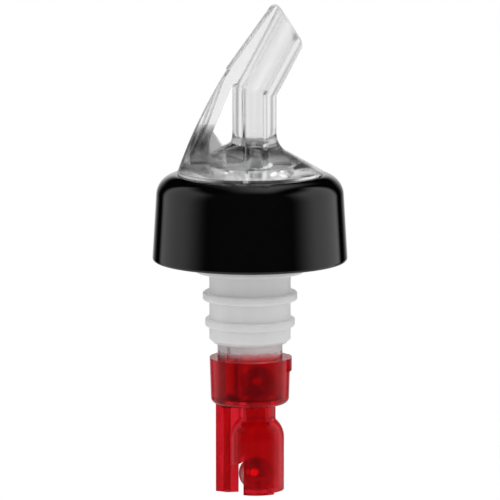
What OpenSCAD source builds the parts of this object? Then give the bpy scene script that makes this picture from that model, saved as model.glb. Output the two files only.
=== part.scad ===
// Measured liquor pourer: a soft ribbed plug grips the bottle's neck, holds a clear spout above it
// and carries a two-ball measuring cage below it.
// Heights are taken from the underside of the plug's flange, which rests on the bottle's lip.
// +Z is up with the bottle standing, and the spout pours toward +X.

/* [Fits] */
// Radial room between mouldings that are pushed together
fit_gap = 0.05; // [0.02:0.01:0.1]
// Room between a resting ball and its seat
seat_gap = 0.05; // [0.02:0.01:0.1]

/* [Plug] */
// Outside diameter of the plug's body
plug_d = 18.5; // [17.6:0.1:19.8]
// Length of the plug below its flange
plug_length = 16.3; // [15:0.1:20]
// Lead-in chamfer at the plug's lower end
plug_chamfer = 0.9; // [0.3:0.1:1.3]
// Diameter of the flange that rests on the bottle's lip
flange_d = 24.6; // [23:0.2:28]
// Thickness of the flange
flange_t = 2; // [1.2:0.1:3]
// Diameter over the upper sealing rib
upper_rib_d = 21.5; // [20:0.1:23]
// Depth of the upper rib's middle below the flange
upper_rib_depth = 5.6; // [3.5:0.1:7]
// Diameter over the lower sealing rib
lower_rib_d = 20.4; // [20:0.1:22]
// Depth of the lower rib's middle below the flange
lower_rib_depth = 11.6; // [10:0.1:13]
// Thickness of a sealing rib at its root
rib_t = 1.8; // [1.4:0.1:2.6]
// Width of the flat land on a rib's crest
rib_land = 1; // [0.4:0.1:1.2]

/* [Collar] */
// Diameter of the collar at its lower rim
collar_d = 44.4; // [40:0.2:50]
// Height of the collar from its rim to its top
collar_h = 19.8; // [16:0.1:26]
// Height of the collar's rim above the underside of the flange
collar_rim_rise = 2.5; // [1:0.1:3]
// Draft of the collar's side, in degrees
collar_draft = 3.5; // [1:0.1:5]
// Radius of the collar's shoulder
collar_shoulder_r = 4.9; // [3:0.1:7]
// Wall thickness of the collar
collar_wall = 1.8; // [1.2:0.1:2.4]
// Wall thickness of the collar's central sleeve
collar_hub_wall = 1.5; // [1:0.1:2]
// Radius of the rounded edge on the collar's rim
collar_edge_r = 0.7; // [0.3:0.1:0.8]

/* [Spout base] */
// Diameter of the spout's base disc
disc_d = 33; // [29:0.2:34]
// Thickness of the base disc at its edge
disc_edge_t = 0.6; // [0.4:0.1:1.2]
// Slope of the skirt above the disc's edge, in degrees from level
skirt_slope = 29; // [24:0.5:33]
// Radius of the fillet between the skirt and the pouring tube
tube_fillet_r = 5.4; // [3:0.1:6]

/* [Pouring tube] */
// Outside diameter of the pouring tube
tube_d = 10; // [8:0.1:11]
// Bore of the pouring tube
pour_bore_d = 4.4; // [3.6:0.1:5.2]
// Distance of the pouring tube's axis in front of the plug's axis
tube_offset = 1; // [0.5:0.1:1.8]
// Height of the tube's bend above the collar
bend_h = 18.9; // [17:0.1:22]
// Lean of the pouring head from upright, in degrees
head_lean = 28; // [22:0.5:32]
// Length of the pouring head from the bend to the middle of its mouth
head_length = 17.1; // [14:0.1:20]
// Angle of the mouth's cut from a square cut, in degrees
mouth_cut = 29; // [15:0.5:33]
// Radius of the rounded nose at the top of the mouth
nose_r = 1.7; // [1:0.1:2.2]
// Radius of the rounded lip at the front of the mouth
lip_r = 2.5; // [1:0.1:3]

/* [Vent arm] */
// Width of the vent arm from side to side
arm_w = 5.5; // [4.5:0.1:7]
// Lean of the ridge that runs up the back of the head, in degrees
ridge_lean = 35.5; // [33:0.5:38]
// Distance of the ridge's back from the bend of the tube
ridge_reach = 8.2; // [7.6:0.1:8.8]
// Radius of the ridge's rounded back
ridge_r = 5; // [3.5:0.1:6]
// Radius of the long curve of the arm's back
arm_back_r = 118; // [90:1:160]
// Lean of the arm's back where it leaves the disc's edge, in degrees
arm_foot_lean = 19.4; // [18:0.1:21]
// Lean of the arm's inner side, in degrees
arm_inner_lean = 22.5; // [20:0.5:25]
// Height above the collar where the arm's inner side meets the tube
gap_top_h = 20.4; // [19.5:0.1:21.5]
// Height above the collar of the gap's lower back corner
gap_corner_h = 9.4; // [8.5:0.1:11]
// Lean of the web under the gap, in degrees
web_lean = 38; // [34:0.5:44]
// Radius of the flare from the arm's sides to its foot
foot_flare_r = 12.9; // [9:0.1:13.5]
// Lean of the foot's inner side, in degrees
foot_inner_lean = 21.5; // [18:0.5:25]
// Thickness of the foot where it meets the base disc
foot_t = 3.6; // [3:0.1:4.2]
// Distance of the foot's back from the base disc's edge
foot_inset = 0.15; // [0.1:0.05:0.4]

/* [Vent] */
// Outside diameter of the vent tube
vent_tube_d = 2.4; // [2:0.1:2.8]
// Bore of the vent tube
vent_bore_d = 1.4; // [1:0.1:1.6]
// Distance of the vent tube's axis behind the plug's axis
vent_offset = 5.2; // [5:0.1:5.4]
// Depth of the sockets that hold the vent tube's ends
vent_socket = 2.5; // [2:0.1:2.6]
// Bore of the air hole in the arm
air_hole_d = 1.4; // [1:0.1:1.8]
// Lean of the air hole, in degrees
air_hole_lean = 20; // [19:0.5:22]
// Distance of the air hole's lower end behind the plug's axis
air_hole_foot = 14.3; // [13.5:0.1:14.6]
// Depth of the air channel under the base disc
air_channel_depth = 1; // [0.6:0.1:1.4]
// Width of the air channel under the base disc
air_channel_w = 2; // [1.9:0.1:2.4]

/* [Balls] */
// Diameter of the two steel balls
ball_d = 7.94; // [7.6:0.01:8.2]
// Distance of the balls' axis in front of the plug's axis
ball_offset = 1.4; // [1:0.1:1.6]
// Radial room around the timing ball in its tube
timing_room = 0.25; // [0.15:0.05:0.35]
// Radial room around the reset ball in its chamber
reset_room = 0.35; // [0.2:0.05:0.5]

/* [Timing tube] */
// Outside diameter of the timing tube
timing_tube_d = 14.8; // [14.4:0.1:15.4]
// Length of timing tube that shows between the plug and the cage
tube_exposed = 3.5; // [2.4:0.1:5]
// Length of timing tube above the underside of the flange
tube_insert = 19.3; // [16:0.1:19.6]
// Height of the timing seat above the plug's lower end
timing_seat_rise = 1.1; // [0.5:0.1:4]
// Diameter of the throat above the timing seat
timing_throat_d = 5; // [4:0.1:5.4]
// Margin above and below the inlet windows
window_margin = 0.3; // [0.2:0.1:0.6]
// Width of the two narrow inlet windows
slit_w = 0.9; // [0.6:0.1:1.4]
// Angle of a narrow inlet window from the vent, in degrees
slit_angle = 49; // [44:1:56]
// Width of the wide inlet window at the rear
rear_window_w = 4; // [2:0.1:5]

/* [Ball cage] */
// Outside diameter of the cage's cup at its rim
cup_d = 18.4; // [18:0.1:20]
// Taper of the cup's radius from its rim to its floor
cup_taper = 0.3; // [0:0.05:0.4]
// Height of the cup
cup_h = 10.5; // [9:0.1:14]
// Thickness of the cup's floor
cup_floor_t = 1.4; // [1:0.1:2.2]
// Radius of the cup's rounded lower edge
cup_edge_r = 1.2; // [0.5:0.1:1.3]
// Height of the lug on the cup's rim
lug_h = 2.9; // [2:0.1:5]
// How far the lug stands proud of the cup
lug_proud = 0.35; // [0.2:0.05:0.7]
// Angle that the lug spans, in degrees
lug_span = 44; // [30:1:100]
// Outside diameter of the neck under the cup
neck_d = 8.9; // [7.6:0.1:9.6]
// Length of the neck
neck_h = 3.9; // [2.5:0.1:6]
// Bore of the neck
neck_bore_d = 4.4; // [3.6:0.1:5]
// Bore of the metering hole in the neck's rear wall
metering_d = 1; // [0.6:0.1:1.4]
// Outside diameter of the reset chamber
chamber_d = 12.8; // [12:0.1:13.4]
// Height of the reset chamber with its dome
chamber_h = 16.6; // [15:0.1:22]
// Radius of the dome's outline
dome_r = 5.5; // [4.6:0.1:6.2]
// Thickness of the dome above the reset seat
dome_t = 0.8; // [0.5:0.1:1.6]
// Thickness of the chamber's floor
chamber_floor_t = 1.1; // [0.8:0.1:1.6]
// Diameter of the hole in the chamber's floor
floor_hole_d = 5.6; // [4.6:0.1:6]
// Distance of the side slot behind the balls' axis
slot_offset = 2.9; // [2.6:0.1:3.2]
// Height of the side slot
slot_h = 7.8; // [5:0.1:9]
// Slant of the side slot's top, in degrees
slot_slant = 35; // [10:1:45]
// Height of the relief at the front of the chamber's floor
relief_h = 0.4; // [0.1:0.1:0.5]
// Distance of the relief in front of the balls' axis
relief_offset = 4.1; // [3:0.1:5]
// Distance of the vent leg's back from the plug's axis
leg_reach = 7.8; // [7.6:0.1:8.4]
// Width of the vent leg at its back
leg_back_w = 2; // [1.5:0.1:3]
// Width of the vent leg across its edges
leg_w = 4.8; // [4.2:0.1:5.4]
// Width of the web between the vent leg and the chamber
leg_web_w = 4; // [3:0.1:4.4]
// Room between the web and the side slot's far side
leg_slot_w = 1.1; // [0.8:0.1:1.3]

/* [Hidden] */
$fn = 96;
// Sides of the arm's long curve where it is drawn with flats
long_curve_fn = 720;
// Length by which a cutting shape runs past the faces that it cuts
over = 1;
// Length that is past every edge of the part
far = 80;

plug_r = plug_d / 2;
plug_bottom = -plug_length;
plug_bore_r = timing_tube_d / 2 + fit_gap;
collar_top = collar_rim_rise + collar_h;
tube_top = tube_insert;
plug_top = tube_top;
hub_bore_r = plug_r + fit_gap;
hub_r = hub_bore_r + collar_hub_wall;
stem_r = plug_r;

disc_r = disc_d / 2;
skirt_foot = collar_top + disc_edge_t;
skirt_apex = skirt_foot + disc_r * tan(skirt_slope);
tube_r = tube_d / 2;
bend_z = collar_top + bend_h;
fillet_x = tube_offset + tube_r + tube_fillet_r;
// Depth by which the fillet and the foot's flare run into the faces that they blend with
blend = 0.15;
fillet_z = skirt_apex - fillet_x * tan(skirt_slope) + tube_fillet_r / cos(skirt_slope) - blend;

ball_r = ball_d / 2;
timing_bore_r = ball_r + timing_room;
chamber_bore_r = ball_r + reset_room;
cup_top = plug_bottom - tube_exposed;
cup_bottom = cup_top - cup_h;
cup_floor = cup_bottom + cup_floor_t;
dome_top = cup_bottom - neck_h;
cage_bottom = dome_top - chamber_h;
chamber_floor = cage_bottom + chamber_floor_t;
vent_socket_r = vent_tube_d / 2 + fit_gap;
vent_foot = cup_floor - vent_socket;
vent_top = tube_top + vent_socket;

// Height of a ball's middle above the sharp edge of the hole that it rests in
function perch(hole_r) = sqrt(ball_r * ball_r - hole_r * hole_r) + seat_gap;
// Height of a ball's middle in a 45 degree seat that starts at seat_z with the bore's radius
function in_seat(seat_z, bore_r) = seat_z + bore_r - sqrt(2) * ball_r;

timing_seat = plug_bottom + timing_seat_rise;
timing_throat_r = timing_throat_d / 2;
timing_rest = cup_floor + perch(neck_bore_d / 2);
timing_travel = in_seat(timing_seat, timing_bore_r) - seat_gap - timing_rest;
reset_seat = dome_top - dome_t - (chamber_bore_r - neck_bore_d / 2);
reset_rest = chamber_floor + perch(floor_hole_d / 2);
reset_travel = in_seat(reset_seat, chamber_bore_r) - seat_gap - reset_rest;
echo(timing_rest = timing_rest, timing_travel = timing_travel);
echo(reset_rest = reset_rest, reset_travel = reset_travel);

// A point in the side view, a length away from another along a line that leans toward +X
function lean_to(point, lean, length) = point + length * [sin(lean), cos(lean)];
// The point where two leaning lines of the side view cross
function cross_at(p, lean_p, q, lean_q) =
    lean_to(p, lean_p, ((q.x - p.x) * cos(lean_q) - (q.y - p.y) * sin(lean_q)) / sin(lean_p - lean_q));

bend = [tube_offset, bend_z];
mouth = lean_to(bend, head_lean, head_length);
// Lean of the line that the mouth's cut makes in the side view
mouth_lean = head_lean - 90 + mouth_cut;
// Room between the head's sides and the outline that rounds its nose and its lip
outline_room = 0.15;
// Directions that face out of the mouth, out of the ridge's back and out of the head's front
mouth_out = [cos(mouth_lean), -sin(mouth_lean)];
ridge_out = [-cos(ridge_lean), sin(ridge_lean)];
front_out = [cos(head_lean), -sin(head_lean)];
ridge_back = bend + ridge_reach * ridge_out;
nose_line = ridge_back + (outline_room - nose_r) * ridge_out;
nose = cross_at(nose_line, ridge_lean, mouth - nose_r * mouth_out, mouth_lean);
lip_line = bend + (tube_r + outline_room - lip_r) * front_out;
lip = cross_at(lip_line, head_lean, mouth - lip_r * mouth_out, mouth_lean);

foot_low = collar_top + disc_edge_t / 2;
gap_top = [tube_offset - tube_r, collar_top + gap_top_h];
gap_corner = lean_to(gap_top, arm_inner_lean, (gap_corner_h - gap_top_h) / cos(arm_inner_lean));

// Turns a side-view outline into a slab that is centred on the XZ plane
module side_slab(width) {
    translate([0, width / 2, 0])
    rotate([90, 0, 0])
    linear_extrude(width)
    children();
}

// A cylinder between two heights
module post(r, z_low, z_high) {
    translate([0, 0, z_low])
    cylinder(r = r, h = z_high - z_low);
}

// The elbow of the pouring tube, mitred at its bend, with the given radius and lower end
module elbow(r, z_low, head_end) {
    mitre = head_lean / 2;
    translate([tube_offset, 0, bend_z]) {
        difference() {
            post(r, z_low - bend_z, tube_d);
            rotate([0, mitre, 0])
            translate([-far / 2, -far / 2, 0])
            cube(far);
        }
        difference() {
            rotate([0, head_lean, 0])
            post(r, -tube_d, head_end);
            rotate([0, mitre, 0])
            translate([-far / 2, -far / 2, -far])
            cube(far);
        }
    }
}

// Side outline that trims the head: the slanted mouth with its rounded nose and lip
module head_outline() {
    nose_back = nose + nose_r * ridge_out;
    lip_front = lip + lip_r * front_out;
    polygon([
        nose,
        nose_back,
        lean_to(nose_back, ridge_lean, -far),
        [lip_front.x, collar_top - far],
        lip_front,
        lip,
        lip + lip_r * mouth_out,
        nose + nose_r * mouth_out
    ]);
    translate(nose)
    circle(nose_r);
    translate(lip)
    circle(lip_r);
}

// Solid of revolution under the long curve of the arm's back
module arm_envelope() {
    foot_r = disc_r - foot_inset;
    centre = [foot_r - arm_back_r * cos(arm_foot_lean), skirt_foot - arm_back_r * sin(arm_foot_lean)];
    rotate_extrude()
    intersection() {
        translate(centre)
        circle(arm_back_r, $fn = long_curve_fn);
        translate([0, foot_low])
        square([foot_r, bend_z + tube_r - foot_low]);
    }
}

// Side outline of the arm, its web and the ridge behind the head
module arm_outline() {
    back_x = -disc_r - over;
    ridge_low = lean_to(ridge_back, ridge_lean, (back_x - ridge_back.x) / sin(ridge_lean));
    polygon([
        [tube_offset, collar_top],
        bend,
        lean_to(mouth, head_lean, tube_d),
        lean_to(ridge_back, ridge_lean, far / 2),
        ridge_low,
        [back_x, collar_top]
    ]);
}

// Side outline of the gap between the arm and the pouring tube
module gap_outline() {
    web_foot = lean_to(gap_corner, -web_lean, -(gap_corner.y - skirt_foot) / cos(web_lean));
    polygon([gap_top, gap_corner, web_foot, [tube_offset, skirt_foot], [tube_offset, gap_top.y]]);
}

// The arm as a slab with the rounded back of the ridge
module arm_slab() {
    intersection() {
        side_slab(arm_w)
        arm_outline();
        translate([ridge_back.x, 0, ridge_back.y])
        rotate([0, ridge_lean, 0])
        translate([ridge_r, 0, -far])
        union() {
            cylinder(r = ridge_r, h = 2 * far);
            translate([0, -ridge_r, 0])
            cube([far, 2 * ridge_r, 2 * far]);
        }
    }
}

// The foot as seen from behind: it flares from inside the arm's width to the disc's edge
module foot_outline() {
    half_w = arm_w / 2 - blend;
    difference() {
        translate([-half_w - foot_flare_r, collar_top])
        square([2 * (half_w + foot_flare_r), foot_flare_r]);
        for (side = [-1, 1])
            translate([side * (half_w + foot_flare_r), skirt_foot + foot_flare_r])
            circle(foot_flare_r);
    }
}

// The spreading foot, hollowed on its inner side by a cone
module arm_foot() {
    inner_r = disc_r - foot_inset - foot_t;
    difference() {
        rotate([90, 0, 90])
        translate([0, 0, -disc_r - over])
        linear_extrude(disc_r + over)
        foot_outline();
        translate([0, 0, skirt_foot])
        cylinder(r1 = inner_r, r2 = 0, h = inner_r / tan(foot_inner_lean));
        post(inner_r, collar_top - over, skirt_foot);
    }
}

// The vent arm with its foot, rounded off behind by the long curve of its back
module vent_arm() {
    difference() {
        intersection() {
            union() {
                arm_slab();
                arm_foot();
            }
            union() {
                arm_envelope();
                translate([-far / 2, -far / 2, bend_z + tube_r])
                cube(far);
            }
        }
        side_slab(2 * arm_w)
        gap_outline();
    }
}

// Base disc, its sloping skirt and the fillet up to the pouring tube
module spout_base() {
    post(disc_r, collar_top + fit_gap, skirt_foot);
    translate([0, 0, skirt_foot])
    cylinder(r1 = disc_r, r2 = 0, h = skirt_apex - skirt_foot);
    flare_r = tube_r + tube_fillet_r * (1 - sin(skirt_slope));
    translate([tube_offset, 0, 0])
    rotate_extrude()
    difference() {
        translate([0, foot_low])
        square([flare_r, fillet_z - foot_low]);
        translate([tube_r + tube_fillet_r, fillet_z])
        circle(tube_fillet_r);
    }
}

module spout() {
    head_end = head_length + tube_d;
    color("white", 0.4)
    difference() {
        union() {
            spout_base();
            post(stem_r, tube_top, skirt_foot);
            intersection() {
                union() {
                    elbow(tube_r, fillet_z, head_end);
                    vent_arm();
                }
                side_slab(far)
                head_outline();
            }
        }
        elbow(pour_bore_d / 2, tube_top - over, head_end + over);
        translate([-air_hole_foot, 0, collar_top])
        rotate([0, air_hole_lean, 0])
        post(air_hole_d / 2, -over, far / 2);
        translate([-air_hole_foot - air_channel_w / 2, -air_channel_w / 2, collar_top - over])
        cube([air_hole_foot - vent_offset + air_channel_w, air_channel_w, air_channel_depth + over]);
        translate([-vent_offset, 0, 0]) {
            post(vent_bore_d / 2, tube_top, collar_top + air_channel_depth / 2);
            post(vent_socket_r, tube_top - over, vent_top);
        }
    }
}

// Half section of the collar's outside, moved inward by the given inset
module collar_section(inset, z_low, edge_r) {
    rim_r = collar_d / 2;
    shoulder_z = collar_top - collar_shoulder_r;
    shoulder_x = rim_r - (shoulder_z - collar_rim_rise) * tan(collar_draft)
        - collar_shoulder_r / cos(collar_draft);
    shoulder = [shoulder_x, shoulder_z];
    shoulder_r = collar_shoulder_r - inset;
    edge_z = z_low + edge_r;
    edge_x = rim_r - (edge_z - collar_rim_rise) * tan(collar_draft) - (inset + edge_r) / cos(collar_draft);
    side = [cos(collar_draft), sin(collar_draft)];
    polygon([
        [0, z_low],
        [edge_x, z_low],
        [edge_x, edge_z],
        [edge_x, edge_z] + edge_r * side,
        shoulder + shoulder_r * side,
        shoulder,
        [shoulder_x, collar_top - inset],
        [0, collar_top - inset]
    ]);
    translate(shoulder)
    circle(shoulder_r);
    translate([edge_x, edge_z])
    circle(edge_r);
}

module collar() {
    color([0.05, 0.05, 0.06])
    difference() {
        union() {
            difference() {
                rotate_extrude()
                collar_section(0, collar_rim_rise, collar_edge_r);
                rotate_extrude()
                collar_section(collar_wall, collar_rim_rise - over, collar_edge_r);
            }
            post(hub_r, flange_t, collar_top - collar_wall / 2);
        }
        post(hub_bore_r, flange_t - over, collar_top + over);
    }
}

// Half section of one sealing rib
module rib_section(rib_d, depth) {
    corner_r = (rib_t - rib_land) / 2;
    crest = rib_d / 2;
    inside = plug_bore_r + (plug_r - plug_bore_r) / 2;
    translate([inside, -depth - rib_t / 2])
    square([crest - corner_r - inside, rib_t]);
    translate([inside, -depth - rib_land / 2])
    square([crest - inside, rib_land]);
    for (side = [-1, 1])
        translate([crest - corner_r, side * rib_land / 2 - depth])
        circle(corner_r);
}

module plug() {
    color([0.94, 0.95, 0.95])
    rotate_extrude() {
        polygon([
            [plug_bore_r, plug_bottom],
            [plug_r - plug_chamfer, plug_bottom],
            [plug_r, plug_bottom + plug_chamfer],
            [plug_r, plug_top],
            [plug_bore_r, plug_top]
        ]);
        translate([plug_bore_r, 0])
        square([flange_d / 2 - plug_bore_r, flange_t]);
        rib_section(upper_rib_d, upper_rib_depth);
        rib_section(lower_rib_d, lower_rib_depth);
    }
}

// A radial opening through the timing tube's wall
module inlet_window(angle, width) {
    rotate([0, 0, angle])
    translate([timing_bore_r / 2, -width / 2, cup_top + window_margin])
    cube([timing_tube_d, width, tube_exposed - 2 * window_margin]);
}

module timing_tube() {
    color([0.9, 0.94, 0.95], 0.7)
    difference() {
        post(timing_tube_d / 2, cup_floor, tube_top);
        translate([ball_offset, 0, 0]) {
            post(timing_bore_r, cup_floor - over, timing_seat);
            translate([0, 0, timing_seat])
            cylinder(r1 = timing_bore_r, r2 = timing_throat_r, h = timing_bore_r - timing_throat_r);
            post(timing_throat_r, timing_seat, tube_top + over);
        }
        translate([-vent_offset, 0, 0])
        post(vent_socket_r, cup_floor - over, tube_top + over);
        for (side = [-1, 1])
            inlet_window(180 + side * slit_angle, slit_w);
        translate([ball_offset, 0, 0])
        inlet_window(90, rear_window_w);
    }
}

module vent_tube() {
    color([0.88, 0.9, 0.9])
    translate([-vent_offset, 0, 0])
    difference() {
        post(vent_tube_d / 2, vent_foot, vent_top - fit_gap);
        post(vent_bore_d / 2, vent_foot - over, vent_top + over);
    }
}

// Outside of the cup, with its rounded lower edge and the lug on its rim
module cup_outside() {
    rim_r = cup_d / 2;
    floor_r = rim_r - cup_taper;
    rotate_extrude() {
        polygon([
            [0, cup_bottom],
            [floor_r - cup_edge_r, cup_bottom],
            [floor_r - cup_edge_r, cup_bottom + cup_edge_r],
            [floor_r, cup_bottom + cup_edge_r],
            [rim_r, cup_top],
            [0, cup_top]
        ]);
        translate([floor_r - cup_edge_r, cup_bottom + cup_edge_r])
        circle(cup_edge_r);
    }
    lug_side = far * [cos(lug_span / 2), sin(lug_span / 2)];
    intersection() {
        post(rim_r + lug_proud, cup_top - lug_h, cup_top);
        translate([0, 0, cup_bottom])
        linear_extrude(cup_h + over)
        polygon([[0, 0], [lug_side.x, -lug_side.y], lug_side]);
    }
}

// Outside of the reset chamber: a round wall under a domed shoulder and the neck
module chamber_outside() {
    chamber_r = chamber_d / 2;
    neck_r = neck_d / 2;
    centre_r = chamber_r - dome_r;
    shoulder_z = dome_top - sqrt(dome_r * dome_r - (neck_r - centre_r) * (neck_r - centre_r));
    rotate_extrude() {
        translate([0, shoulder_z])
        square([neck_r, cup_bottom + cup_floor_t / 2 - shoulder_z]);
        translate([0, cage_bottom])
        square([chamber_r, shoulder_z - cage_bottom]);
        intersection() {
            translate([centre_r, shoulder_z])
            circle(dome_r);
            translate([0, shoulder_z])
            square([chamber_r, dome_top - shoulder_z]);
        }
    }
}

// Plan of the vent leg and the web that ties it to the chamber
module leg_plan() {
    edge_x = -vent_offset;
    web_x = ball_offset - slot_offset - leg_slot_w;
    polygon([
        [-leg_reach, -leg_back_w / 2],
        [edge_x, -leg_w / 2],
        [web_x, -leg_web_w / 2],
        [web_x, leg_web_w / 2],
        [edge_x, leg_w / 2],
        [-leg_reach, leg_back_w / 2]
    ]);
}

// Clears the chamber's wall behind the slot, with a slanted top that sheds the liquid
module slot_cut() {
    slot_x = ball_offset - slot_offset;
    slot_top = cage_bottom + slot_h;
    side_slab(far)
    polygon([
        [slot_x, cage_bottom - over],
        [slot_x, slot_top],
        [slot_x - far, slot_top - far * tan(slot_slant)],
        [slot_x - far, cage_bottom - far]
    ]);
}

module ball_cage() {
    color([0.75, 0.03, 0.08], 0.85)
    difference() {
        union() {
            cup_outside();
            difference() {
                translate([ball_offset, 0, 0])
                chamber_outside();
                slot_cut();
            }
            translate([0, 0, cage_bottom])
            linear_extrude(cup_floor - cage_bottom)
            leg_plan();
        }
        post(timing_tube_d / 2 + fit_gap, cup_floor, cup_top + over);
        translate([ball_offset, 0, 0]) {
            post(neck_bore_d / 2, reset_seat, cup_floor + over);
            translate([0, 0, reset_seat])
            cylinder(r1 = chamber_bore_r, r2 = neck_bore_d / 2, h = chamber_bore_r - neck_bore_d / 2);
            post(chamber_bore_r, chamber_floor, reset_seat);
            post(floor_hole_d / 2, cage_bottom - over, chamber_floor + over);
            translate([relief_offset, -far / 2, cage_bottom - over])
            cube([far, far, relief_h + over]);
            translate([0, 0, cup_bottom - neck_h / 2])
            rotate([-90, 0, 0])
            cylinder(d = metering_d, h = chamber_d);
        }
        translate([-vent_offset, 0, 0]) {
            post(vent_bore_d / 2, cage_bottom - over, cup_floor);
            post(vent_socket_r, vent_foot, cup_floor + over);
        }
    }
}

module timing_ball() {
    color("silver")
    translate([ball_offset, 0, timing_rest])
    sphere(d = ball_d);
}

module reset_ball() {
    color("silver")
    translate([ball_offset, 0, reset_rest])
    sphere(d = ball_d);
}

spout();
collar();
plug();
timing_tube();
vent_tube();
ball_cage();
timing_ball();
reset_ball();
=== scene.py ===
# %% [markdown]
# # A measured liquor pourer
#
# This pourer is pushed into a bottle's neck. A clear spout stands on a black collar, a soft ribbed
# plug grips the glass, and a red cage below holds two steel balls that time each pour. The shapes come
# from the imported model, so this lesson is about the looks: a camera, a small light tent, and a finish
# for every piece.

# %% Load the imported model
import math

import bmesh
import bpy
from mathutils import Matrix, Vector


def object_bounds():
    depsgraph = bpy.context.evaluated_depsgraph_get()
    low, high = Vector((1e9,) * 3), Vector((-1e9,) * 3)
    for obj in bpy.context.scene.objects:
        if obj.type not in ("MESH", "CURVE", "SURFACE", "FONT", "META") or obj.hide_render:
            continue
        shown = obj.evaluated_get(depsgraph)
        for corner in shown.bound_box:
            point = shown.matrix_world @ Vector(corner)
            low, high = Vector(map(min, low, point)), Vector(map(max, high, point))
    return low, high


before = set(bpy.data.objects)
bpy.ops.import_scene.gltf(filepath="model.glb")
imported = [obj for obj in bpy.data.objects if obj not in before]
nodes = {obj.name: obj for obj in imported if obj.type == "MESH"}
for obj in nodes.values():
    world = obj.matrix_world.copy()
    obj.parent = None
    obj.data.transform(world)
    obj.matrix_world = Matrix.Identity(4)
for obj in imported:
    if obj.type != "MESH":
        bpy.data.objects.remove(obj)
cad_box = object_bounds()
MM = 0.001
print("pieces:", sorted(nodes), "height in mm:", round((cad_box[1].z - cad_box[0].z) / MM, 1))

# %% [markdown]
# ## The camera
#
# A product shot like this is taken from about a metre away with a long lens, a little above the
# object, so that upright lines stay upright and round rims show as shallow ellipses. The rims of the
# collar and of the red cup give the angle: an ellipse's height over its width is the sine of it.

# %% Aim the camera
CAMERA_AIM = Vector((0, 0, 4.8 * MM))
CAMERA_DISTANCE = 955 * MM
CAMERA_PITCH = math.radians(8.8)
CAMERA_LENS = 303
CAMERA_NEAR = 10 * MM

camera_data = bpy.data.cameras.new("camera")
camera_data.lens = CAMERA_LENS
camera_data.clip_start = CAMERA_NEAR
camera = bpy.data.objects.new("camera", camera_data)
bpy.context.collection.objects.link(camera)
toward_camera = Vector((0, -math.cos(CAMERA_PITCH), math.sin(CAMERA_PITCH)))
camera.location = CAMERA_AIM + CAMERA_DISTANCE * toward_camera
camera.rotation_euler = (-toward_camera).to_track_quat("-Z", "Y").to_euler()
bpy.context.scene.camera = camera
bpy.context.scene.view_settings.view_transform = "Standard"
print("camera at", [round(c, 3) for c in camera.location])

# %% [markdown]
# ## Light inside clear plastic
#
# A thick clear moulding throws light back and forth many times before it lets it out. Blender follows
# a mirrored ray for four bounces only, and what is left would be black, so the limit is raised.

# %% Let light bounce on
LIGHT_BOUNCES = 24

light_paths = bpy.context.scene.cycles
light_paths.max_bounces = LIGHT_BOUNCES
light_paths.glossy_bounces = LIGHT_BOUNCES
light_paths.transmission_bounces = LIGHT_BOUNCES
print("bounces:", light_paths.max_bounces)

# %% [markdown]
# ## Shader maths in Python
#
# Nodes are easier to read as sums. This class wraps an output socket, and an operator on it adds the
# Math node for that sum. Every other node comes from its add method: the settings first, then the
# values or links of the sockets.

# %% A socket that does sums
class Wire:
    """An output socket of a node tree, or the bare tree, on which Python's operators work."""

    def __init__(self, tree, socket=None):
        self.tree = tree
        self.socket = socket

    def add(self, kind, settings=None, inputs=None, output=0):
        """Adds a node and returns one of its outputs."""
        node = self.tree.nodes.new(kind)
        for name, value in (settings or {}).items():
            setattr(node, name, value)
        for name, value in (inputs or {}).items():
            if isinstance(value, Wire):
                self.tree.links.new(value.socket, node.inputs[name])
            else:
                node.inputs[name].default_value = value
        return Wire(self.tree, node.outputs[output] if node.outputs else None)

    def sum(self, operation, first, second=0.0):
        return self.add("ShaderNodeMath", {"operation": operation}, {0: first, 1: second})

    def __add__(self, other):
        return self.sum("ADD", self, other)

    __radd__ = __add__

    def __sub__(self, other):
        return self.sum("SUBTRACT", self, other)

    def __rsub__(self, other):
        return self.sum("SUBTRACT", other, self)

    def __mul__(self, other):
        return self.sum("MULTIPLY", self, other)

    __rmul__ = __mul__

    def step(self, start, end):
        """A smooth step from 0 at start to 1 at end."""
        return self.add(
            "ShaderNodeMapRange",
            {"interpolation_type": "SMOOTHSTEP"},
            {"Value": self, "From Min": start, "From Max": end},
        )

    def band(self, rise, fall):
        """1 between two smooth steps, up over the pair rise and down over the pair fall."""
        return self.step(*rise) * (1 - self.step(*fall))


print("shader sums ready")

# %% [markdown]
# ## The light tent
#
# The black collar mirrors the studio, so it tells how the photo was lit. Two broad walls of light
# stand left and right and show as the grey sheens on its sides. A light box hangs above, a little to
# the right, and shows on the shoulder. The front is open and dark where the camera looks in, and
# narrow dark seams behind the walls draw the thin lines along the edges. Lamps and panels could be
# built for all this, but a world shader is the cheapest such tent: it is worked out from the direction
# of each ray. The turn of a ray is 0 degrees straight behind the pourer and 180 toward the camera, and
# its way over the top is counted alike. Each pair of numbers says where a soft edge starts and ends:
# in degrees for these two, and as a part of the ray's length for its x and z.

# %% The direction of a ray
def ray(sheet, kind):
    """1 for the rays of one kind, 0 for the others."""
    return sheet.add("ShaderNodeLightPath", output="Is " + kind + " Ray")


def degrees_from_back(sheet, aside, ahead):
    """The angle between a ray and the way straight back, without its sign."""
    return sheet.sum("ABSOLUTE", sheet.sum("ARCTAN2", aside, ahead)) * math.degrees(1)


world = bpy.data.worlds.new("light tent")
bpy.context.scene.world = world
world.use_nodes = True
world.node_tree.nodes.clear()
sheet = Wire(world.node_tree)

direction = sheet.add("ShaderNodeTexCoord", output="Generated")
x, y, z = (sheet.add("ShaderNodeSeparateXYZ", inputs={0: direction}, output=axis) for axis in "XYZ")
turn = degrees_from_back(sheet, x, y)
over = degrees_from_back(sheet, z, y)
print("directions ready")

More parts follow.
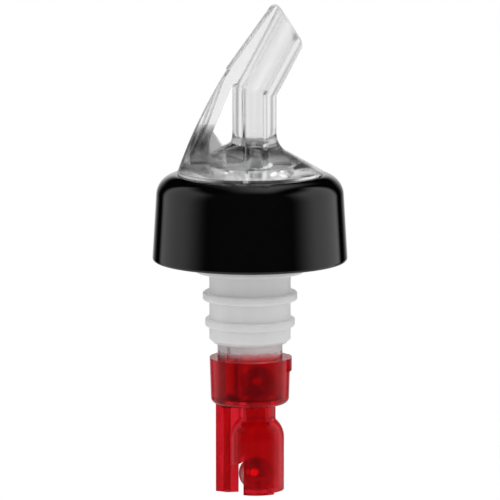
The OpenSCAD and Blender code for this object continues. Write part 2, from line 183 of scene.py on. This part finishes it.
# %% Shares of the tent that a direction meets
PATCH_SIDES = (0, 36)
PATCH_TOP = (0.12, 0.35)
BACKDROP_SIDES = (32, 40)
BACKDROP_TOP = (0.2, 0.6)
WALL_BACK = (43, 54)
WALL_FRONT = (90, 130)
WALL_TOP = (0.65, 0.85)
RIGHT_HALF = (-0.1, 0.1)
BOX_FOOT = (0.3, 0.6)
BOX_BACK = (32, 72)
BOX_FRONT = (86, 116)
BOX_LEFT = (-0.35, 0.2)
BOX_RIGHT = (0.2, 0.45)
FRONT_SIDES = (110, 150)
LAMP_WAY = Vector((-0.2, -0.92, 0.34)).normalized()
LAMP_EDGE = (math.cos(math.radians(32)), math.cos(math.radians(14)))

patch = (1 - turn.step(*PATCH_SIDES)) * (1 - z.step(*PATCH_TOP))
backdrop = (1 - turn.step(*BACKDROP_SIDES)) * (1 - z.step(*BACKDROP_TOP))
wall = turn.band(WALL_BACK, WALL_FRONT) * (1 - z.step(*WALL_TOP))
right = x.step(*RIGHT_HALF)
box = z.step(*BOX_FOOT) * over.band(BOX_BACK, BOX_FRONT) * x.band(BOX_LEFT, BOX_RIGHT)
front = turn.step(*FRONT_SIDES)
ways = {0: direction, 1: LAMP_WAY}
lamp = sheet.add("ShaderNodeVectorMath", {"operation": "DOT_PRODUCT"}, ways, "Value").step(*LAMP_EDGE)
print("tent parts ready")

# %% [markdown]
# ## What each kind of ray sees
#
# A mirror, a lens and a soft surface each show a tent in their own way. Mirrors see the walls, the box
# and a bright patch behind. The clear spout is a lens: it looks through to the backdrop, with grey
# around it, a dark front and one strong lamp whose small highlights make it sparkle. Soft surfaces
# need no picture, only an even fill. Camera rays see plain white, which is the background.

# %% The world's light
FILL = 0.7
WALL_LEFT = 0.72
WALL_RIGHT = 0.92
MIRROR_BOX = 0.95
MIRROR_FRONT = 0.03
LENS_GREY = 0.45
LENS_DARK_FRONT = 0.33
LENS_BACKDROP = 0.45
LENS_WALL = 0.4
LENS_BOX = 0.4
LENS_LAMP = 3.5
WHITE = (1, 1, 1, 1)

wall_level = WALL_LEFT + (WALL_RIGHT - WALL_LEFT) * right
mirror_light = patch + wall * wall_level + MIRROR_BOX * box + MIRROR_FRONT * front
lens_room = LENS_GREY - LENS_DARK_FRONT * front + LENS_BACKDROP * backdrop
lens_light = lens_room + LENS_WALL * wall + LENS_BOX * box + LENS_LAMP * lamp
seen = ray(sheet, "Camera")
mirrored = ray(sheet, "Glossy")
refracted = ray(sheet, "Transmission")
soft = (1 - seen) * (1 - mirrored) * (1 - refracted)
strength = seen + mirrored * (1 - refracted) * mirror_light + refracted * lens_light + FILL * soft
tent_light = sheet.add("ShaderNodeBackground", inputs={"Color": WHITE, "Strength": strength})
sheet.add("ShaderNodeOutputWorld", inputs={"Surface": tent_light})
print("tent made with", len(world.node_tree.nodes), "nodes")

# %% [markdown]
# ## The lamps
#
# The tent is a picture for shiny surfaces. Soft ones, such as the white plug, need light that has a
# side, so square lamps stand where the walls and the box above are, and one more stands in front.
# Mirrors and lenses don't see them, because the tent is already there for those.

# %% Lamps
LAMP_DISTANCE = 0.6


def softbox(name, direction, size, level):
    """A square lamp that lights soft surfaces from one side."""
    lamp_data = bpy.data.lights.new(name, "AREA")
    lamp_data.size = size
    lamp_data.energy = level * math.pi * size * size
    lamp_object = bpy.data.objects.new(name, lamp_data)
    bpy.context.collection.objects.link(lamp_object)
    place = Vector(direction).normalized()
    lamp_object.location = LAMP_DISTANCE * place
    lamp_object.rotation_euler = (-place).to_track_quat("-Z", "Y").to_euler()
    lamp_object.visible_camera = False
    lamp_object.visible_glossy = False
    lamp_object.visible_transmission = False


softbox("left lamp", (-1, -0.15, 0.25), size=0.6, level=0.4)
softbox("right lamp", (1, -0.15, 0.25), size=0.6, level=0.5)
softbox("top lamp", (0.1, 0.1, 1), size=0.5, level=0.3)
softbox("front lamp", (-0.1, -1, 0.1), size=0.6, level=0.4)

# %% [markdown]
# ## The floor
#
# The pourer is shown in the air, as it would hang in a bottle's neck, so a pale floor lies a few
# fingers' width below it. Only a soft shadow falls there. A plane with a hard rim would show from
# above, so the rim fades out, and the floor is clear from below, so that a camera under it still sees
# the pourer.

# %% The floor's finish
FLOOR_Z = cad_box[0].z - 60 * MM
FLOOR_RADIUS = 0.45
FLOOR_FADE = (0.3 * FLOOR_RADIUS, 0.95 * FLOOR_RADIUS)
FLOOR_SIDES = 96
FLOOR_PAINT = (0.9, 0.9, 0.9, 1)
FLOOR_GLOW = 0.3


def finish_of(name, surface):
    """A new material whose shader the function surface makes on its node tree."""
    material = bpy.data.materials.new(name)
    material.use_nodes = True
    material.node_tree.nodes.clear()
    tree = Wire(material.node_tree)
    tree.add("ShaderNodeOutputMaterial", inputs={"Surface": surface(tree)})
    return material


def spot(sheet):
    """A spot's place on a piece, in metres."""
    return sheet.add("ShaderNodeTexCoord", output="Object")


def pale_floor(sheet):
    ends = {0: spot(sheet), 1: (0, 0, FLOOR_Z)}
    reach = sheet.add("ShaderNodeVectorMath", {"operation": "DISTANCE"}, ends, "Value")
    below = sheet.add("ShaderNodeNewGeometry", output="Backfacing")
    paint = sheet.add("ShaderNodeBsdfDiffuse", inputs={"Color": FLOOR_PAINT})
    glow = sheet.add("ShaderNodeEmission", inputs={"Strength": FLOOR_GLOW * ray(sheet, "Camera")})
    lit = sheet.add("ShaderNodeAddShader", inputs={0: paint, 1: glow})
    clear = sheet.add("ShaderNodeBsdfTransparent")
    gone = sheet.sum("MAXIMUM", reach.step(*FLOOR_FADE), below)
    return sheet.add("ShaderNodeMixShader", inputs={0: gone, 1: lit, 2: clear})


print("floor's height:", round(FLOOR_Z, 3))

# %% The floor
floor_mesh = bpy.data.meshes.new("floor")
floor_shape = bmesh.new()
bmesh.ops.create_circle(
    floor_shape,
    cap_ends=True,
    segments=FLOOR_SIDES,
    radius=FLOOR_RADIUS,
    matrix=Matrix.Translation((0, 0, FLOOR_Z)),
)
floor_shape.to_mesh(floor_mesh)
floor_shape.free()
floor_mesh.materials.append(finish_of("pale floor", pale_floor))
floor = bpy.data.objects.new("floor", floor_mesh)
bpy.context.collection.objects.link(floor)
print("floor laid with", len(floor_mesh.polygons), "face")

# %% [markdown]
# ## Helpers for the finishes
#
# A moulded part is never quite even: its gloss drifts, its colour clouds where the plastic flowed,
# and its skin carries fine ripples. Each finish below gets these from noise on Object coordinates,
# which are metres here, so a scale of 1000 has one wave in a millimetre. A stretch draws the noise
# out along the way the plastic ran.

# %% Helpers for the finishes
def noise(sheet, scale, detail=3.0, stretch=(1, 1, 1)):
    """A grey noise, with scale in waves per metre."""
    stretched = sheet.add("ShaderNodeMapping", inputs={"Vector": spot(sheet), "Scale": stretch})
    return sheet.add("ShaderNodeTexNoise", inputs={"Vector": stretched, "Scale": scale, "Detail": detail})


def along(sheet, axis):
    """How far a spot lies along one axis, in metres."""
    return sheet.add("ShaderNodeSeparateXYZ", inputs={0: spot(sheet)}, output=axis)


def off_axis(sheet):
    """The distance of a spot from the pourer's upright axis."""
    level = sheet.add("ShaderNodeVectorMath", {"operation": "MULTIPLY"}, {0: spot(sheet), 1: (1, 1, 0)})
    return sheet.add("ShaderNodeVectorMath", {"operation": "LENGTH"}, {0: level}, "Value")


def bump(sheet, height, depth):
    """A normal from a height in 0 to 1, with depth in metres."""
    return sheet.add("ShaderNodeBump", inputs={"Height": height, "Strength": 1.0, "Distance": depth})


def grey(level):
    """A grey with equal red, green and blue."""
    return (level, level, level)


def tint(sheet, share, first, second):
    """A colour between two plain or worked-out ones, by a share from 0 to 1."""
    first, second = (c if isinstance(c, Wire) else (*c, 1) for c in (first, second))
    colours = {"Factor": share, 6: first, 7: second}
    return sheet.add("ShaderNodeMix", {"data_type": "RGBA"}, colours, "Result")


def dress(node_name, name, surface):
    """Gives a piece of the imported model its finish."""
    nodes[node_name].data.materials.clear()
    nodes[node_name].data.materials.append(finish_of(name, surface))
    print(node_name, "wears", name)


print("helpers ready")

# %% [markdown]
# ## Where the spout gets painted shade or is satin
#
# The spout is one clear moulding, but not all of it looks alike. The foot of its vent arm, the web beside
# that foot and the root of the pouring tube are thick lumps, where the black collar shows dark through
# the clear plastic, so painted shade greys their colour. Its head and arm came satin from the mould. A
# vertex colour could mark these zones, but heights and distances on Object coordinates do it without
# touching the mesh. The tube stands near the upright axis, and the arm behind it, on the side of -X.

# %% Zones of the spout
FOOT_BOTTOM = (23 * MM, 24.4 * MM)
FOOT_TOP = (29 * MM, 34 * MM)
FOOT_FRONT = (-10 * MM, -7.6 * MM)
WEB_BOTTOM = (25 * MM, 27 * MM)
WEB_TOP = (32 * MM, 34 * MM)
WEB_FRONT = (-6.5 * MM, -5 * MM)
ROOT_BOTTOM = (26.6 * MM, 27.4 * MM)
ROOT_TOP = (28.6 * MM, 29.4 * MM)
ROOT_BACK = (-6 * MM, -5 * MM)
SATIN_HEAD = (36 * MM, 48 * MM)
SATIN_ARM = (-8 * MM, -5 * MM)
# How strongly painted shade greys the foot, the web and the tube root.
FOOT_PAINTED_SHADE = 0.85
WEB_PAINTED_SHADE = 0.6
ROOT_PAINTED_SHADE = 0.85


def foot_share(sheet):
    """1 in the thick foot of the vent arm, 0 in the rest of the spout."""
    return along(sheet, "Z").band(FOOT_BOTTOM, FOOT_TOP) * (1 - along(sheet, "X").step(*FOOT_FRONT))


def painted_shade_share(sheet):
    """How much painted shade greys the foot, the web beside it and the root of the tube."""
    web = along(sheet, "Z").band(WEB_BOTTOM, WEB_TOP) * (1 - along(sheet, "X").step(*WEB_FRONT))
    root = along(sheet, "Z").band(ROOT_BOTTOM, ROOT_TOP) * along(sheet, "X").step(*ROOT_BACK)
    return sheet.sum("MAXIMUM", FOOT_PAINTED_SHADE * foot_share(sheet), WEB_PAINTED_SHADE * web + ROOT_PAINTED_SHADE * root)


def satin_share(sheet):
    """1 on the head and the vent arm, 0 on the polished tube and disc."""
    head = along(sheet, "Z").step(*SATIN_HEAD)
    arm = 1 - along(sheet, "X").step(*SATIN_ARM)
    return sheet.sum("MAXIMUM", head, arm)


print("spout zones ready")

# %% [markdown]
# ## Clear moulding
#
# The spout is polished clear plastic. It is all glass to the shader: what shows is the tent, bent by
# the thick walls and thrown back by the flat underside of the disc. A little roughness softens the
# lines, because a moulding is never as true as ground glass, and slow ripples run along the flow.
# Light that is on its way to the pieces inside goes straight through, as if by a clear pane, because
# a path tracer would take very long to find its way through the bends.

# %% The spout's finish
CLEAR_HAZY = grey(0.95)
CLEAR_BRIGHT = grey(0.97)
# The grey of the painted shade on the spout's thick parts.
CLEAR_PAINTED_SHADE = grey(0.12)
CLEAR_POLISH = 0.05
HAZE_ROUGHNESS = 0.06
SATIN_ROUGHNESS = 0.14
FOOT_ROUGHNESS = 0.11
RIPPLE_DEPTH = 0.03 * MM
PANE = (*grey(0.92), 1)


def clear_moulding(sheet):
    haze = noise(sheet, scale=260, detail=2)
    ripple = noise(sheet, scale=160, detail=1, stretch=(1, 1, 0.4))
    clear = tint(sheet, haze, CLEAR_HAZY, CLEAR_BRIGHT)
    polish = CLEAR_POLISH + HAZE_ROUGHNESS * haze
    shader = sheet.add("ShaderNodeBsdfPrincipled", inputs={
        # Base colour: painted shade greys the thick foot, web and tube root.
        "Base Color": tint(sheet, painted_shade_share(sheet), clear, CLEAR_PAINTED_SHADE),
        "Roughness": polish + SATIN_ROUGHNESS * satin_share(sheet) + FOOT_ROUGHNESS * foot_share(sheet),
        "Normal": bump(sheet, ripple, RIPPLE_DEPTH),
        "Transmission Weight": 1.0,
        "IOR": 1.53,
    })
    pane = sheet.add("ShaderNodeBsdfTransparent", inputs={"Color": PANE})
    for kind in ("Diffuse", "Shadow"):
        shader = sheet.add("ShaderNodeMixShader", inputs={0: ray(sheet, kind), 1: shader, 2: pane})
    return shader


dress("spout", "clear moulding", clear_moulding)

# %% [markdown]
# ## Gloss black
#
# The collar is hard black plastic with a high gloss. Its own colour is almost nothing, so its look is
# the mirrored tent. A coat over a black base would do it too, but a plain surface with little
# roughness gives the same mirror with one layer less. The gloss drifts a little, with faint scuffs
# from hands around the side.

# %% The collar's finish
BLACK = (0.0006, 0.0006, 0.0007)
BLACK_SCUFFED = (0.002, 0.002, 0.0022)
BLACK_POLISH = 0.03
SCUFF_ROUGHNESS = 0.05
BLACK_GRAIN_DEPTH = 0.001 * MM


def gloss_black(sheet):
    scuff = noise(sheet, scale=900, detail=4, stretch=(1, 1, 0.5))
    grain = noise(sheet, scale=2500, detail=2)
    return sheet.add("ShaderNodeBsdfPrincipled", inputs={
        "Base Color": tint(sheet, scuff, BLACK, BLACK_SCUFFED),
        "Roughness": BLACK_POLISH + SCUFF_ROUGHNESS * scuff,
        "Normal": bump(sheet, grain, BLACK_GRAIN_DEPTH),
        "IOR": 1.5,
    })


dress("collar", "gloss black", gloss_black)

# %% [markdown]
# ## Soft white
#
# The plug and the thin vent tube are soft white plastic that lets some light in, so the ribs cast
# pale shadows only. A plain diffuse white would look like chalk, and subsurface light doesn't. The
# ribs are thin, and what light gets into them leaks out again, so painted shade greys their colour a
# little. The skin is satin, clouded along the way it flowed.

# %% The plug's finish
WHITE_CLOUDY = grey(0.78)
WHITE_CLEAN = grey(0.86)
# Painted shade on the ribs: a grey mixed a little into their colour.
RIB_PAINTED_SHADE = grey(0.3)
RIB_SHADE_SHARE = 0.22
RIB_RISE = (9.3 * MM, 10.1 * MM)
WHITE_POLISH = 0.36
WHITE_DRIFT = 0.16
WHITE_GRAIN_DEPTH = 0.006 * MM
LIGHT_REACH = 5 * MM


def soft_white(sheet):
    cloud = noise(sheet, scale=420, detail=3, stretch=(1, 1, 0.1))
    grain = noise(sheet, scale=3000, detail=3)
    rib = off_axis(sheet).step(*RIB_RISE)
    skin = tint(sheet, cloud, WHITE_CLOUDY, WHITE_CLEAN)
    return sheet.add("ShaderNodeBsdfPrincipled", inputs={
        # Base colour: painted shade greys the ribs a little.
        "Base Color": tint(sheet, RIB_SHADE_SHARE * rib, skin, RIB_PAINTED_SHADE),
        "Roughness": WHITE_POLISH + WHITE_DRIFT * noise(sheet, scale=1400, detail=3),
        "Normal": bump(sheet, grain, WHITE_GRAIN_DEPTH),
        "Subsurface Weight": 1.0,
        "Subsurface Radius": (1.0, 1.0, 1.0),
        "Subsurface Scale": LIGHT_REACH,
        "IOR": 1.45,
    })


dress("plug", "soft white", soft_white)
dress("vent_tube", "vent white", soft_white)

# %% [markdown]
# ## Milky tube
#
# The timing tube is cloudy plastic that shows between the plug and the cage. A volume that scatters
# would be the truest way, but it is slow and an exported model loses it, so two shaders are mixed by
# height. In the red cup the tube is nearly clear, and the ball shows through it. Where it is bare, its
# rougher skin blurs what is behind and half of it scatters white. Its lowest part gets painted red
# light, a tint that stands in for the red that glows up from the cup. Its upper end is pressed into the
# plug and is whiter still. Drawn-out streaks run along it.

# %% The timing tube's finish
BARE = (-20 * MM, -16.4 * MM)
# Where painted red light lies on the tube's lowest bare part, and its colour and strength below.
PAINTED_RED_BOTTOM = (-21.5 * MM, -20.5 * MM)
PAINTED_RED_TOP = (-19.6 * MM, -17.4 * MM)
PRESSED_IN = (-2 * MM, 2 * MM)
MILK_THIN = (0.92, 0.93, 0.93)
MILK_CLEAR = grey(0.98)
PAINTED_RED_LIGHT = (0.9, 0.2, 0.26)
PAINTED_RED_SHARE = 0.8
MILK_DARK = (0.80, 0.81, 0.81)
MILK_WHITE = (0.88, 0.89, 0.89)
MILK_POLISH = 0.07
MILK_DRIFT = 0.08
BARE_ROUGHNESS = 0.3
BARE_WHITE = 0.5
PRESSED_IN_WHITE = 0.5
STREAK_DEPTH = 0.004 * MM


def milky(sheet):
    height = along(sheet, "Z")
    streak = noise(sheet, scale=700, detail=3, stretch=(1, 1, 0.1))
    skin = bump(sheet, streak, STREAK_DEPTH)
    bare = height.step(*BARE)
    # Painted red light: the cup's red glow painted onto the tube's colour.
    glow = height.band(PAINTED_RED_BOTTOM, PAINTED_RED_TOP)
    polish = MILK_POLISH + MILK_DRIFT * noise(sheet, scale=900, detail=2)
    cloudy = sheet.add("ShaderNodeBsdfPrincipled", inputs={
        "Base Color": tint(sheet, PAINTED_RED_SHARE * glow, tint(sheet, streak, MILK_THIN, MILK_CLEAR), PAINTED_RED_LIGHT),
        "Roughness": polish + BARE_ROUGHNESS * bare,
        "Normal": skin,
        "Transmission Weight": 0.95,
        "IOR": 1.4,
    })
    white = sheet.add("ShaderNodeBsdfPrincipled", inputs={
        "Base Color": tint(sheet, streak, MILK_DARK, MILK_WHITE),
        "Roughness": 0.4,
        "Normal": skin,
    })
    white_share = BARE_WHITE * bare + PRESSED_IN_WHITE * height.step(*PRESSED_IN)
    return sheet.add("ShaderNodeMixShader", inputs={0: white_share, 1: cloudy, 2: white})


dress("timing_tube", "milky", milky)

# %% [markdown]
# ## Clear red
#
# The cage is see-through red plastic, deep where it is thick. Absorption in a volume would give that,
# but a tinted surface is quicker and comes close, because light that crosses more walls takes the tint
# more often. The colour is almost pure red, so white light that crosses two walls loses all its green
# and blue. It clouds where the plastic flowed. Its gloss is warm too, which the tint of the specular
# light gives.

# %% The cage's finish
RED_DEEP = (0.56, 0.006, 0.014)
RED_BRIGHT = (0.8, 0.017, 0.032)
RED_CLOUD = (0.3, 0.7)
WARM_GLOSS = (1, 0.3, 0.32, 1)
RED_POLISH = 0.12
RED_DRIFT = 0.12
RED_GRAIN_DEPTH = 0.012 * MM


def clear_red(sheet):
    cloud = noise(sheet, scale=320, detail=4, stretch=(1, 1, 0.3)).step(*RED_CLOUD)
    grain = noise(sheet, scale=2400, detail=3)
    return sheet.add("ShaderNodeBsdfPrincipled", inputs={
        "Base Color": tint(sheet, cloud, RED_DEEP, RED_BRIGHT),
        "Roughness": RED_POLISH + RED_DRIFT * noise(sheet, scale=700, detail=3),
        "Normal": bump(sheet, grain, RED_GRAIN_DEPTH),
        "Transmission Weight": 0.9,
        "Specular Tint": WARM_GLOSS,
        "IOR": 1.37,
    })


dress("ball_cage", "clear red", clear_red)

# %% [markdown]
# ## Steel
#
# The two balls are stock bearing balls. They mirror most of what is around them, with a faint grain of
# fine scratches from rolling in their bores. One function makes both finishes. Both balls are the same
# steel, but the timing ball's colour is darkened by painted shade, so that it shows as a dark ring in
# the bright red cup, and the reset ball keeps a lighter one.

# %% The balls' finish
STEEL_METAL = 0.75


def steel(dark, light, polish, scratch_roughness):
    """The finish of a steel ball, between two greys."""
    def surface(sheet):
        scratch = noise(sheet, scale=1500, detail=4, stretch=(1, 1, 6))
        return sheet.add("ShaderNodeBsdfPrincipled", inputs={
            "Base Color": tint(sheet, scratch, grey(dark), grey(light)),
            "Roughness": polish + scratch_roughness * scratch,
            "Metallic": STEEL_METAL,
        })

    return surface


# The timing ball's darker greys are painted shade, so it reads as a dark ring in the red cup.
dress("timing_ball", "steel darkened by painted shade", steel(dark=0.42, light=0.52, polish=0.02, scratch_roughness=0.04))
dress("reset_ball", "polished steel", steel(dark=0.66, light=0.78, polish=0.06, scratch_roughness=0.1))
